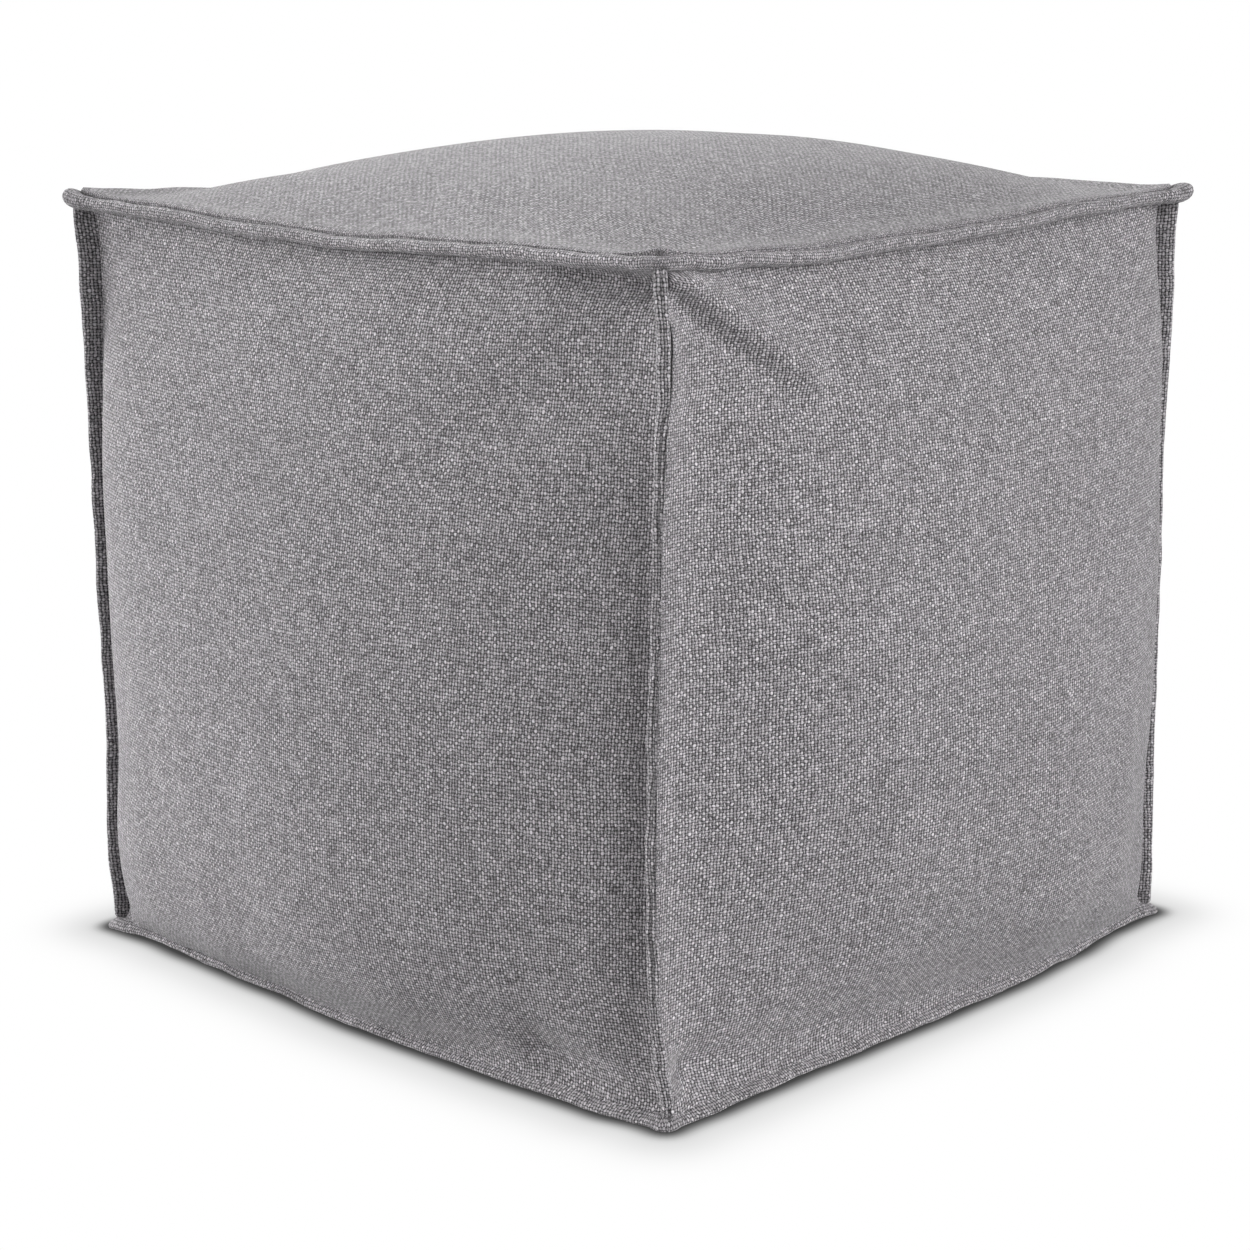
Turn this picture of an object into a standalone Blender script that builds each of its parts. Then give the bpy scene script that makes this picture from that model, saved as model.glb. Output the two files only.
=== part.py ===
"""A stuffed cube pouf in grey basket-look cloth, with a standing flange along all twelve seams.

The filled cube is one solid: a crowned top, puffed sides and a flat base. Its seams carry seven
flanges, folded from the seam allowance of the panels: a ring round the top, a ring round the base
and one upright strip on each corner. Metres, +Z up, origin on the floor under the middle.
The corners are named near (+X, -Y), right (+X, +Y), rear (-X, +Y) and left (-X, -Y).
"""

import math

import bmesh
import bpy
from mathutils import Vector

# Seams of the filled cube
BASE_SEAM_HEIGHT = 0.0058
TOP_SEAM_HEIGHT = {"near": 0.4425, "right": 0.4425, "rear": 0.4425, "left": 0.4443}
TOP_DRAW_IN = 0.0030        # how far the top seam pulls in at the middle of an edge

# Filling
CROWN_RISE = 0.0530         # top panel's middle above the level of its seams
CROWN_POWER = 0.70          # 0.5 is a round bulge, 1 a pointed one
SIDE_PUFF = {"front": 0.0550, "right": 0.0550, "back": 0.0602, "left": 0.0529}  # beyond the seams
SIDE_POWER = 0.55
SIDE_LOW_POWER = 0.32       # how fast a side fills out above the base seam
SIDE_HIGH_POWER = 0.58      # how fast it thins out towards the top seam
BASE_REST_SHARE = 0.90      # share of the base panel, from its middle, that lies flat on the floor

# Crease that runs down the right-hand face from the top of the near corner
CREASE_DEPTH = 0.0050
CREASE_WIDTH = 0.0110
CREASE_START = (-0.90, 0.86)    # (along the panel, up the panel), both from -1 to 1
CREASE_END = (-0.44, 0.60)
PANEL_HALF = 0.2200         # turns those shares into lengths

# Flanges
FLANGE_WIDTH = 0.0135       # from the stitch line to the folded edge
FLANGE_EDGE_THICK = 0.0068  # at the rounded outer edge
FLANGE_PINCH_THICK = 0.0040 # just outside the stitch line
BASE_FLANGE_THICK = 0.0052
BASE_PINCH_THICK = 0.0032
FLANGE_BULB = 0.84          # where a flange is thickest, as a share of its width
EAR_REACH = 0.32            # extra width of a ring at its corners, as a share of the width
BASE_EAR_REACH = 0.32
SEAT_GAP = 0.0003           # between an upright flange and the seam it is sewn into
RING_SEAT_GAP = 0.0006      # the same for a ring, whose root leaves its seam at a tilt
CORNER_SEAT_GAP = 0.0016    # and at a ring's turned corner
UPRIGHT_LIFT = 0.0008       # between the base seam and the foot of an upright flange
UPRIGHT_DROP = 0.0010       # between its head and the top seam
HEAD_LEAN_LESS = 11.0       # degrees by which its head tilts less than the ring above it
HEAD_LEAN_LENGTH = 0.0400   # the length over which it comes to lean

# Half of a flange's outline. Columns: share of its width, then its half thickness there as a share
# of the pinched thickness and as a share of the edge's thickness
FLANGE_OUTLINE = [
    (0.0, 0.0, 0.0),
    (0.20, 0.30, 0.0),
    (0.48, 0.50, 0.0),
    (FLANGE_BULB, 0.0, 0.50),
    (0.97, 0.0, 0.27),
    (1.0, 0.0, 0.0),
]

# Facets
PANEL_CELLS = 18            # along each side of a panel, and along the flanges beside it
CORNER_CELLS = 4            # round each corner of a ring

SHARP_ANGLE = 50            # degrees, past which neighbouring facets keep a crisp edge
CLOTH_GREY = (0.255, 0.255, 0.262, 1.0)
CLOTH_ROUGHNESS = 0.92

CORNERS = {"near": (1, -1), "right": (1, 1), "rear": (-1, 1), "left": (-1, -1)}

# Where each upright seam runs. Columns: share of its height, x, y
UPRIGHT_SEAMS = {
    "near": [(0.0, 0.2238, -0.2230), (0.06, 0.2204, -0.2236), (0.2, 0.2172, -0.2246),
             (0.42, 0.2169, -0.2231), (0.62, 0.2188, -0.2220), (0.86, 0.2226, -0.2210),
             (1.0, 0.2225, -0.2225)],
    "right": [(0.0, 0.2265, 0.2100), (0.25, 0.2215, 0.2148), (0.5, 0.2195, 0.2176),
              (0.65, 0.2182, 0.2176), (0.85, 0.2196, 0.2196), (0.95, 0.2192, 0.2192),
              (1.0, 0.2206, 0.2206)],
    "rear": [(0.0, -0.2200, 0.2180), (0.25, -0.2212, 0.2184), (0.6, -0.2189, 0.2211),
             (1.0, -0.2220, 0.2220)],
    "left": [(0.0, -0.2200, -0.2200), (0.1, -0.2220, -0.2216), (0.3, -0.2203, -0.2193),
             (0.5, -0.2207, -0.2207), (0.8, -0.2202, -0.2212), (0.93, -0.2215, -0.2215),
             (1.0, -0.2229, -0.2229)],
}

# Spread of the base seam beyond the line between its corners. Columns: share of the edge, spread
BASE_SPREAD = {
    "front": [(0.0, 0.0), (0.06, -0.0012), (0.15, 0.0010), (0.33, 0.0050), (0.52, 0.0092), (0.73, 0.0070),
              (0.92, 0.0030), (1.0, 0.0)],
    "right": [(0.0, 0.0), (0.08, -0.0008), (0.22, 0.0), (0.33, 0.0030), (0.52, 0.0072), (0.65, 0.0093),
              (0.8, 0.0062), (0.92, 0.0010), (1.0, 0.0)],
    "back": [(0.0, 0.0), (0.15, 0.0012), (0.38, 0.0066), (0.58, 0.0090), (0.82, 0.0046), (1.0, 0.0)],
    "left": [(0.0, 0.0), (0.2, 0.0024), (0.42, 0.0080), (0.6, 0.0088), (0.85, 0.0022), (1.0, 0.0)],
}

# Droop of the top seam between its corners. Columns: share of the edge, drop
TOP_SAG = {
    "front": [(0.0, 0.0), (0.12, 0.0010), (0.3, 0.0036), (0.49, 0.0043), (0.62, 0.0026), (0.85, 0.0020),
              (1.0, 0.0)],
    "right": [(0.0, 0.0), (0.1, 0.0045), (0.27, 0.0072), (0.4, 0.0050), (0.6, 0.0048), (0.8, 0.0015),
              (1.0, 0.0)],
    "back": [(0.0, 0.0), (0.15, 0.0012), (0.3, 0.0035), (0.5, 0.0060), (0.8, 0.0025), (1.0, 0.0)],
    "left": [(0.0, 0.0), (0.25, 0.0045), (0.5, 0.0080), (0.77, 0.0060), (0.89, 0.0016), (0.96, -0.0012),
             (1.0, 0.0)],
}

# Upward tilt of the top flange. Columns: share of the edge, degrees
TOP_TILT = {
    "front": [(0.0, 27.0), (0.1, 27.0), (0.3, 15.0), (0.5, 6.0), (0.7, 9.0), (0.9, 12.0), (1.0, 16.0)],
    "right": [(0.0, 16.0), (0.1, 8.0), (0.3, 5.0), (0.45, 12.0), (0.7, 19.0), (0.85, 27.0), (1.0, 27.0)],
    "back": [(0.0, 27.0), (0.3, 33.0), (0.7, 34.0), (1.0, 30.0)],
    "left": [(0.0, 30.0), (0.3, 34.0), (0.8, 36.0), (1.0, 27.0)],
}

# The four edges in walking order, each from its first corner to its second
EDGES = [
    ("front", "left", "near"),
    ("right", "near", "right"),
    ("back", "right", "rear"),
    ("left", "rear", "left"),
]


def read_table(rows, share):
    """Value at a share of the way, eased between the rows of a table."""
    for (low, low_value), (high, high_value) in zip(rows, rows[1:]):
        if share <= high:
            part = (share - low) / (high - low)
            eased = part * part * (3 - 2 * part)
            return low_value + (high_value - low_value) * eased
    return rows[-1][1]


def spread_share(index, count):
    """Share from 0 to 1 with its steps shortened towards both ends."""
    return 0.5 - 0.5 * math.cos(math.pi * index / count)


def seam_length(corner):
    return TOP_SEAM_HEIGHT[corner] - BASE_SEAM_HEIGHT


def upright_seam(corner, share):
    """Point on an upright seam, from the base seam (0) to the top seam (1)."""
    rows = UPRIGHT_SEAMS[corner]
    x = read_table([(at, seam_x) for at, seam_x, _ in rows], share)
    y = read_table([(at, seam_y) for at, _, seam_y in rows], share)
    return Vector((x, y, BASE_SEAM_HEIGHT + seam_length(corner) * share))


def edge_normal(edge):
    return {
        "front": Vector((0, -1, 0)),
        "right": Vector((1, 0, 0)),
        "back": Vector((0, 1, 0)),
        "left": Vector((-1, 0, 0)),
    }[edge]


def edge_corners(edge):
    return next((first, second) for name, first, second in EDGES if name == edge)


def top_seam(edge, share):
    first, second = (upright_seam(corner, 1.0) for corner in edge_corners(edge))
    point = first.lerp(second, share)
    point -= edge_normal(edge) * TOP_DRAW_IN * 4 * share * (1 - share)
    point.z -= read_table(TOP_SAG[edge], share)
    return point


def base_seam(edge, share):
    first, second = (upright_seam(corner, 0.0) for corner in edge_corners(edge))
    point = first.lerp(second, share)
    return point + edge_normal(edge) * read_table(BASE_SPREAD[edge], share)


def blended_patch(low, high, start, end, across, up):
    """Coons patch between four seam curves, at shares across and up."""
    rows = low(across).lerp(high(across), up)
    columns = start(up).lerp(end(up), across)
    corners = low(0).lerp(low(1), across).lerp(high(0).lerp(high(1), across), up)
    return rows + columns - corners


def bulge(share, power):
    """Height of a stuffed panel along one direction, 1 in its middle and 0 at its seams."""
    return max(0.0, 4 * share * (1 - share)) ** power


def side_fill(up):
    """How full a side panel is at a share of its height. It is fullest low down."""
    peak = SIDE_LOW_POWER / (SIDE_LOW_POWER + SIDE_HIGH_POWER)
    most = peak**SIDE_LOW_POWER * (1 - peak) ** SIDE_HIGH_POWER
    return up**SIDE_LOW_POWER * (1 - up) ** SIDE_HIGH_POWER / most


def crease(across, up):
    """Depth of the soft diagonal crease at a place on the right-hand panel."""
    start, end, place = Vector(CREASE_START), Vector(CREASE_END), Vector((across, up))
    along = end - start
    share = max(0.0, min(1.0, (place - start).dot(along) / along.length_squared))
    distance = (place - start - along * share).length * PANEL_HALF
    return CREASE_DEPTH * math.exp(-((distance / CREASE_WIDTH) ** 2))


def side_point(edge, across, up):
    first, second = edge_corners(edge)
    point = blended_patch(
        lambda share: base_seam(edge, share),
        lambda share: top_seam(edge, share),
        lambda share: upright_seam(first, share),
        lambda share: upright_seam(second, share),
        across,
        up,
    )
    puff = SIDE_PUFF[edge] * bulge(across, SIDE_POWER) * side_fill(up)
    if edge == "right":
        puff -= crease(2 * across - 1, 2 * up - 1)
    return point + edge_normal(edge) * puff


def seam_frame_patch(seam, across, back):
    """Point of the top or base panel, across from left to right and back from the front seam."""
    return blended_patch(
        lambda share: seam("front", share),
        lambda share: seam("back", 1 - share),
        lambda share: seam("left", 1 - share),
        lambda share: seam("right", share),
        across,
        back,
    )


def top_point(across, back):
    point = seam_frame_patch(top_seam, across, back)
    point.z += CROWN_RISE * bulge(across, CROWN_POWER) * bulge(back, CROWN_POWER)
    return point


def base_point(across, back):
    """The base panel lies on the floor and curves up to its seam in its outer tenth."""
    point = seam_frame_patch(base_seam, across, back)
    outward = max(abs(2 * across - 1), abs(2 * back - 1))
    lift = max(0.0, (outward - BASE_REST_SHARE) / (1 - BASE_REST_SHARE))
    point.z = BASE_SEAM_HEIGHT * lift**2
    return point


def surface_point(i, j, k):
    """Place on the filled cube of a lattice point, each index running from 0 to PANEL_CELLS."""
    across, back, up = (spread_share(index, PANEL_CELLS) for index in (i, j, k))
    if k == PANEL_CELLS:
        return top_point(across, back)
    if k == 0:
        return base_point(across, back)
    if j == 0:
        return side_point("front", across, up)
    if i == PANEL_CELLS:
        return side_point("right", back, up)
    if j == PANEL_CELLS:
        return side_point("back", 1 - across, up)
    return side_point("left", 1 - back, up)


def panel_squares():
    """Lattice squares of the six panels, each with its corners anticlockwise as seen from outside."""
    count = PANEL_CELLS
    for a in range(count):
        for b in range(count):
            yield (a, b, count), (a + 1, b, count), (a + 1, b + 1, count), (a, b + 1, count)
            yield (a, b, 0), (a, b + 1, 0), (a + 1, b + 1, 0), (a + 1, b, 0)
            yield (a, 0, b), (a + 1, 0, b), (a + 1, 0, b + 1), (a, 0, b + 1)
            yield (a, count, b), (a, count, b + 1), (a + 1, count, b + 1), (a + 1, count, b)
            yield (count, a, b), (count, a + 1, b), (count, a + 1, b + 1), (count, a, b + 1)
            yield (0, a, b), (0, a, b + 1), (0, a + 1, b + 1), (0, a + 1, b)


def add_object(name, shape, material):
    mesh = bpy.data.meshes.new(name)
    shape.to_mesh(mesh)
    shape.free()
    mesh.shade_smooth()
    mesh.set_sharp_from_angle(angle=math.radians(SHARP_ANGLE))
    mesh.materials.append(material)
    made = bpy.data.objects.new(name, mesh)
    bpy.context.scene.collection.objects.link(made)
    return made


def cloth_material(name):
    material = bpy.data.materials.new(name)
    material.use_nodes = True
    shader = material.node_tree.nodes["Principled BSDF"]
    shader.inputs["Base Color"].default_value = CLOTH_GREY
    shader.inputs["Roughness"].default_value = CLOTH_ROUGHNESS
    shader.inputs["Metallic"].default_value = 0.0
    return material


def make_filled_body():
    shape = bmesh.new()
    corners = {}
    for square in panel_squares():
        for place in square:
            if place not in corners:
                corners[place] = shape.verts.new(surface_point(*place))
        shape.faces.new([corners[place] for place in square])
    return add_object("filled_body", shape, cloth_material("cloth_of_panels"))


def flange_section(width, pinch_thick, edge_thick):
    """Outline of a flange as (outward, sideways) pairs, a wedge at the stitches and a rounded edge."""
    upper = [
        (share * width, of_pinch * pinch_thick + of_edge * edge_thick)
        for share, of_pinch, of_edge in FLANGE_OUTLINE
    ]
    lower = [(outward, -sideways) for outward, sideways in reversed(upper[1:-1])]
    return upper + lower


def sweep(name, stations, closed, material):
    """Solid through stations of (point, outward, sideways, section)."""
    shape = bmesh.new()
    rings = [
        [shape.verts.new(point + outward * p + sideways * q) for p, q in section]
        for point, outward, sideways, section in stations
    ]
    count = len(rings[0])
    pairs = list(zip(rings, rings[1:] + rings[:1])) if closed else list(zip(rings, rings[1:]))
    for ring, following in pairs:
        for n in range(count):
            after = (n + 1) % count
            shape.faces.new((ring[n], ring[after], following[after], following[n]))
    if not closed:
        shape.faces.new(reversed(rings[0]))
        shape.faces.new(rings[-1])
    bmesh.ops.recalc_face_normals(shape, faces=shape.faces)
    return add_object(name, shape, material)


def ring_stations(seam, tilt_at, pinch_thick, edge_thick, ear_reach):
    """Stations round the four edges of the cube, with a fan of them round each corner."""
    stations = []
    for number, (edge, _, _) in enumerate(EDGES):
        normal = edge_normal(edge)
        next_normal = edge_normal(EDGES[(number + 1) % len(EDGES)][0])
        for step in range(1, PANEL_CELLS):
            share = spread_share(step, PANEL_CELLS)
            stations.append((seam(edge, share), normal, tilt_at(edge, share), RING_SEAT_GAP, 0.0))
        for step in range(CORNER_CELLS + 1):
            turn = step / CORNER_CELLS
            angle = turn * math.pi / 2
            outward = normal * math.cos(angle) + next_normal * math.sin(angle)
            turned = math.sin(2 * angle) ** 2
            gap = RING_SEAT_GAP + (CORNER_SEAT_GAP - RING_SEAT_GAP) * turned
            stations.append((seam(edge, 1.0), outward, tilt_at(edge, 1.0), gap, ear_reach * turned))
    swept = []
    for point, outward, tilt, gap, ear in stations:
        raised = outward * math.cos(tilt) + Vector((0, 0, math.sin(tilt)))
        sideways = Vector((0, 0, math.cos(tilt))) - outward * math.sin(tilt)
        section = flange_section(FLANGE_WIDTH * (1 + ear), pinch_thick, edge_thick)
        swept.append((point + raised * gap, raised, sideways, section))
    return swept


def make_top_seam_flange():
    stations = ring_stations(
        top_seam,
        lambda edge, share: math.radians(read_table(TOP_TILT[edge], share)),
        FLANGE_PINCH_THICK,
        FLANGE_EDGE_THICK,
        EAR_REACH,
    )
    return sweep("top_seam_flange", stations, True, cloth_material("cloth_of_top_flange"))


def make_base_seam_flange():
    """The base ring droops from its seam until its folded edge lies on the floor."""
    droop = -math.asin((BASE_SEAM_HEIGHT - BASE_FLANGE_THICK / 2) / (FLANGE_BULB * FLANGE_WIDTH))
    stations = ring_stations(
        base_seam,
        lambda edge, share: droop,
        BASE_PINCH_THICK,
        BASE_FLANGE_THICK,
        BASE_EAR_REACH,
    )
    made = sweep("base_seam_flange", stations, True, cloth_material("cloth_of_base_flange"))
    for vertex in made.data.vertices:
        vertex.co.z = max(0.0, vertex.co.z)
    return made


def make_corner_flange(corner):
    x_sign, y_sign = CORNERS[corner]
    outward = Vector((x_sign, y_sign, 0)).normalized()
    sideways = Vector((-y_sign, x_sign, 0)).normalized()
    section = flange_section(FLANGE_WIDTH, FLANGE_PINCH_THICK, FLANGE_EDGE_THICK)
    edge = next(name for name, _, last in EDGES if last == corner)
    head_lean = math.radians(read_table(TOP_TILT[edge], 1.0) - HEAD_LEAN_LESS)
    foot = UPRIGHT_LIFT / seam_length(corner)
    head = 1 - UPRIGHT_DROP / seam_length(corner)
    stations = []
    for step in range(PANEL_CELLS + 1):
        share = min(head, max(foot, spread_share(step, PANEL_CELLS)))
        near_head = max(0.0, 1 - (head - share) * seam_length(corner) / HEAD_LEAN_LENGTH)
        lean = head_lean * near_head**2
        leaning = outward * math.cos(lean) + Vector((0, 0, math.sin(lean)))
        stations.append((upright_seam(corner, share) + outward * SEAT_GAP, leaning, sideways, section))
    return sweep(f"corner_flange_{corner}", stations, False, cloth_material(f"cloth_of_{corner}_flange"))


for leftover in list(bpy.data.objects):
    bpy.data.objects.remove(leftover)
make_filled_body()
make_top_seam_flange()
make_base_seam_flange()
for corner_name in CORNERS:
    make_corner_flange(corner_name)
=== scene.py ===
import math

import bpy
from mathutils import Euler, Matrix, Vector, noise


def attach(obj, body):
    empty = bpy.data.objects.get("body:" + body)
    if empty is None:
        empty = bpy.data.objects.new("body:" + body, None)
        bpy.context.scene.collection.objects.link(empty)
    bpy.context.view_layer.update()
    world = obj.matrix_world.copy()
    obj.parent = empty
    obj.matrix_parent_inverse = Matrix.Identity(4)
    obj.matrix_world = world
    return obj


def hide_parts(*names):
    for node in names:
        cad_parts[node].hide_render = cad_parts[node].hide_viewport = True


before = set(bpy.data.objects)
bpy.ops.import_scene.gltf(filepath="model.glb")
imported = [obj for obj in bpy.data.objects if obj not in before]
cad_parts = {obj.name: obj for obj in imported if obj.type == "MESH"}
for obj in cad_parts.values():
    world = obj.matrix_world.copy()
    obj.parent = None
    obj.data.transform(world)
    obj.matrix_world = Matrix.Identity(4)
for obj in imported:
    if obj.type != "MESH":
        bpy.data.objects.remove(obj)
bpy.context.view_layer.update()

# ---------------------------------------------------------------------------------------------
# The filled cube. Six panels of basket-look linen cloth, cut flat and sewn to a closed cover, then
# stuffed hard. The filling crowns the top, puffs the sides out between their seams, lowest down
# the most, and presses the base flat on the floor.
# ---------------------------------------------------------------------------------------------

PANEL_CELLS = 64                 # cloth cells along each side of a panel, before the last subdivision
PANEL_CUT = 0.500                # side of a panel as it was cut, between its seams
BASE_SEAM_HEIGHT = 0.0058
TOP_SEAM_HEIGHT = {"near": 0.4425, "right": 0.4425, "rear": 0.4425, "left": 0.4443}
TOP_DRAW_IN = 0.0030             # how far the top seam pulls in at the middle of an edge
CROWN_RISE = 0.0530
CROWN_POWER = 0.68
SIDE_PUFF = {"front": 0.0550, "right": 0.0550, "back": 0.0602, "left": 0.0529}
SIDE_LOW_POWER = 0.32            # how fast a side fills out above the base seam
SIDE_HIGH_POWER = 0.58           # how fast it thins out towards the top seam
BASE_REST_SHARE = 0.90           # share of the base panel, from its middle, that lies on the floor
EVEN_CELLS = 0.50                # 1 spaces the cells evenly between seams, less packs them to the seams
PANEL_WIDTH = 0.440              # between the seams, measured straight
SIDE_HEIGHT = 0.437
CROWN_TUCK = 0.0195              # how far the top panel runs out over its flange
CROWN_FILLET = 0.0085            # distance over which it leaves it
CROWN_LIFT = 0.0036              # by which it lies up there on the flange's thickness
CROWN_LIFT_REACH = 0.0120
CROWN_SOFTNESS = 0.0080          # distance over which it starts to rise
UNDER_TUCK = 0.0025              # how far the side panels run out under the top flange
UNDER_FILLET = 0.0030
BASE_TUCK = 0.0095
BASE_FILLET = 0.0075
UNDULATION = 0.0009              # slow unevenness of the filling
UNDULATION_SCALE = 13.0          # swells per metre
FINE_UNDULATION = 0.3            # share of a finer unevenness on the sides
FINE_UNDULATION_SCALE = 41.0
UNDULATION_POWER = 0.5           # how fast it grows away from the seams
CORNER_TURN = 0.01               # share of an edge over which a ring's flange turns to the diagonal
RIB_SHORTER = 0.8                # by how much less the upright flanges draw the cloth out beside a ring
RIB_SHORTER_REACH = 0.020

CORNERS = {"near": (1, -1), "right": (1, 1), "rear": (-1, 1), "left": (-1, -1)}
EDGES = [("front", "left", "near"), ("right", "near", "right"),
         ("back", "right", "rear"), ("left", "rear", "left")]
EDGE_NORMALS = {"front": Vector((0, -1, 0)), "right": Vector((1, 0, 0)),
                "back": Vector((0, 1, 0)), "left": Vector((-1, 0, 0))}

# Where each upright seam runs. Columns: share of its height, x, y
UPRIGHT_SEAMS = {
    "near": [(0.0, 0.2238, -0.2230), (0.06, 0.2204, -0.2236), (0.2, 0.2172, -0.2246),
             (0.42, 0.2169, -0.2231), (0.62, 0.2188, -0.2220), (0.86, 0.2226, -0.2210),
             (1.0, 0.2225, -0.2225)],
    "right": [(0.0, 0.2265, 0.2100), (0.25, 0.2215, 0.2148), (0.5, 0.2195, 0.2176),
              (0.65, 0.2182, 0.2176), (0.85, 0.2196, 0.2196), (0.95, 0.2192, 0.2192),
              (1.0, 0.2206, 0.2206)],
    "rear": [(0.0, -0.2200, 0.2180), (0.25, -0.2212, 0.2184), (0.6, -0.2189, 0.2211),
             (1.0, -0.2220, 0.2220)],
    "left": [(0.0, -0.2200, -0.2200), (0.1, -0.2220, -0.2216), (0.3, -0.2203, -0.2193),
             (0.5, -0.2207, -0.2207), (0.8, -0.2202, -0.2212), (0.93, -0.2215, -0.2215),
             (1.0, -0.2229, -0.2229)],
}

# Spread of the base seam beyond the line between its corners. Columns: share of the edge, spread
BASE_SPREAD = {
    "front": [(0.0, 0.0), (0.06, 0.0), (0.15, 0.0030), (0.33, 0.0070), (0.52, 0.0125),
              (0.73, 0.0110), (0.92, 0.0070), (1.0, 0.0)],
    "right": [(0.0, 0.0), (0.08, 0.0035), (0.22, 0.0050), (0.33, 0.0075), (0.52, 0.0105),
              (0.65, 0.0115), (0.8, 0.0082), (0.92, 0.0022), (1.0, 0.0)],
    "back": [(0.0, 0.0), (0.15, 0.0012), (0.38, 0.0066), (0.58, 0.0090), (0.82, 0.0046), (1.0, 0.0)],
    "left": [(0.0, 0.0), (0.2, 0.0024), (0.42, 0.0080), (0.6, 0.0088), (0.85, 0.0022), (1.0, 0.0)],
}

# How a side panel swells out from its first and from its second seam. Columns: share of its
# height, power of the curve. A smaller power is fuller
SIDE_POWERS = {
    "front": ([(0.0, 0.37), (0.12, 0.39), (0.28, 0.475), (0.46, 0.465), (0.68, 0.39), (0.80, 0.41),
               (0.89, 0.85), (1.0, 0.85)], [(1.0, 0.80)]),
    "right": ([(1.0, 0.55)], [(0.0, 0.37), (0.19, 0.49), (0.36, 0.43), (0.61, 0.355), (0.80, 0.275),
                              (1.0, 0.26)]),
    "back": ([(0.0, 0.52), (1.0, 0.58)], [(0.0, 0.52), (1.0, 0.58)]),
    "left": ([(0.0, 0.52), (1.0, 0.58)], [(0.0, 0.52), (1.0, 0.58)]),
}

# Share of a side panel's width over which it starts to fill, at its first and at its second seam.
# Columns: share of its height, share of its width
SEAM_SOFTNESS = {
    "front": ([(1.0, 0.012)], [(0.0, 0.008), (0.55, 0.008), (0.85, 0.016), (0.95, 0.030), (1.0, 0.030)]),
    "right": ([(0.0, 0.080), (0.84, 0.080), (0.95, 0.030), (1.0, 0.030)], [(1.0, 0.012)]),
    "back": ([(1.0, 0.030)], [(1.0, 0.030)]),
    "left": ([(1.0, 0.030)], [(1.0, 0.012)]),
}

# How far a side panel runs out along the upright flange of its first and of its second seam, and
# the distance over which it leaves it
UPRIGHT_TUCK = {"front": (0.0030, 0.0062), "right": (0.0275, 0.0040), "back": (0.0050, 0.0045),
                "left": (0.0045, 0.0030)}
UPRIGHT_FILLET = {"front": (0.0030, 0.0200), "right": (0.0110, 0.0030), "back": (0.0080, 0.0080),
                  "left": (0.0080, 0.0030)}
# How far it is pushed aside there by the thickness of the flange's lip, and over what distance
UPRIGHT_ASIDE = {"front": (0.0, 0.0), "right": (0.0006, 0.0), "back": (0.0020, 0.0020), "left": (0.0020, 0.0)}
ASIDE_REACH = 0.0120
ASIDE_POWER = 0.2                # how fast that grows away from the rings

# How the weave of each panel is stretched by the filling, across and up the panel
PANEL_STRETCH = {"top": (1.02, 1.03), "base": (1.0, 1.0), "front": (1.00, 1.02), "right": (1.19, 0.90),
                 "back": (1.02, 1.00), "left": (1.15, 0.92)}

# Share of its height over which it starts to fill below the top. Columns: share of the edge, share
TOP_SOFTNESS = {
    "front": [(0.0, 0.010), (0.55, 0.014), (0.80, 0.040), (0.95, 0.060), (1.0, 0.060)],
    "right": [(0.0, 0.030), (0.12, 0.012), (1.0, 0.010)],
    "back": [(0.0, 0.030), (0.3, 0.012), (1.0, 0.040)],
    "left": [(0.0, 0.040), (0.3, 0.012), (1.0, 0.010)],
}

# Share of its height over which it starts to fill above the base. Columns: share of the edge, share
BASE_SOFTNESS = {
    "front": [(0.0, 0.010), (0.25, 0.018), (0.6, 0.040), (0.85, 0.080), (1.0, 0.110)],
    "right": [(0.0, 0.170), (0.15, 0.150), (0.4, 0.100), (0.75, 0.035), (0.92, 0.012), (1.0, 0.010)],
    "back": [(0.0, 0.030), (0.5, 0.040), (1.0, 0.030)],
    "left": [(0.0, 0.030), (0.5, 0.040), (1.0, 0.014)],
}

# Upward tilt of the top flange. Columns: share of the edge, degrees
TOP_TILT = {
    "front": [(0.0, 27.0), (0.1, 27.0), (0.3, 19.0), (0.5, 10.0), (0.7, 14.0), (0.9, 17.0), (0.97, 24.0),
              (1.0, 29.0)],
    "right": [(0.0, 29.0), (0.1, 25.0), (0.3, 20.0), (0.45, 18.0), (0.7, 22.0), (0.85, 24.0), (1.0, 19.0)],
    "back": [(0.0, 19.0), (0.08, 30.0), (0.3, 33.0), (0.7, 34.0), (1.0, 30.0)],
    "left": [(0.0, 30.0), (0.3, 34.0), (0.8, 36.0), (1.0, 27.0)],
}
BASE_DROOP = math.radians(14.5)  # by which the base flange slopes down to the floor

# How an upright seam wanders to one side. Columns: share of its height, shift, more than 0 to the
# right as seen from outside
UPRIGHT_SHIFT = {
    "near": [(0.0, 0.0), (0.04, 0.0006), (0.12, 0.0032), (0.70, 0.0034), (0.84, 0.0014), (0.92, 0.0),
             (1.0, 0.0)],
    "right": [(1.0, 0.0006)],
    "rear": [(0.0, 0.0), (0.4, 0.0015), (1.0, 0.0)],
    "left": [(1.0, 0.0)],
}

# How an upright flange leans to that side. Columns: share of its height, degrees
UPRIGHT_LEAN = {
    "near": [(0.0, 8.0), (0.035, 5.0), (0.065, -6.0), (0.11, -18.0), (0.20, -20.0), (0.55, -19.0),
             (0.72, -18.0), (0.82, -11.0), (0.88, 0.0), (0.92, 4.5), (0.97, -0.5), (1.0, -6.0)],
    "right": [(1.0, -3.0)],
    "rear": [(0.0, 5.0), (0.3, -3.0), (0.7, 4.0), (1.0, 0.0)],
    "left": [(0.0, 2.0), (0.4, -1.0), (1.0, 0.0)],
}

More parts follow.
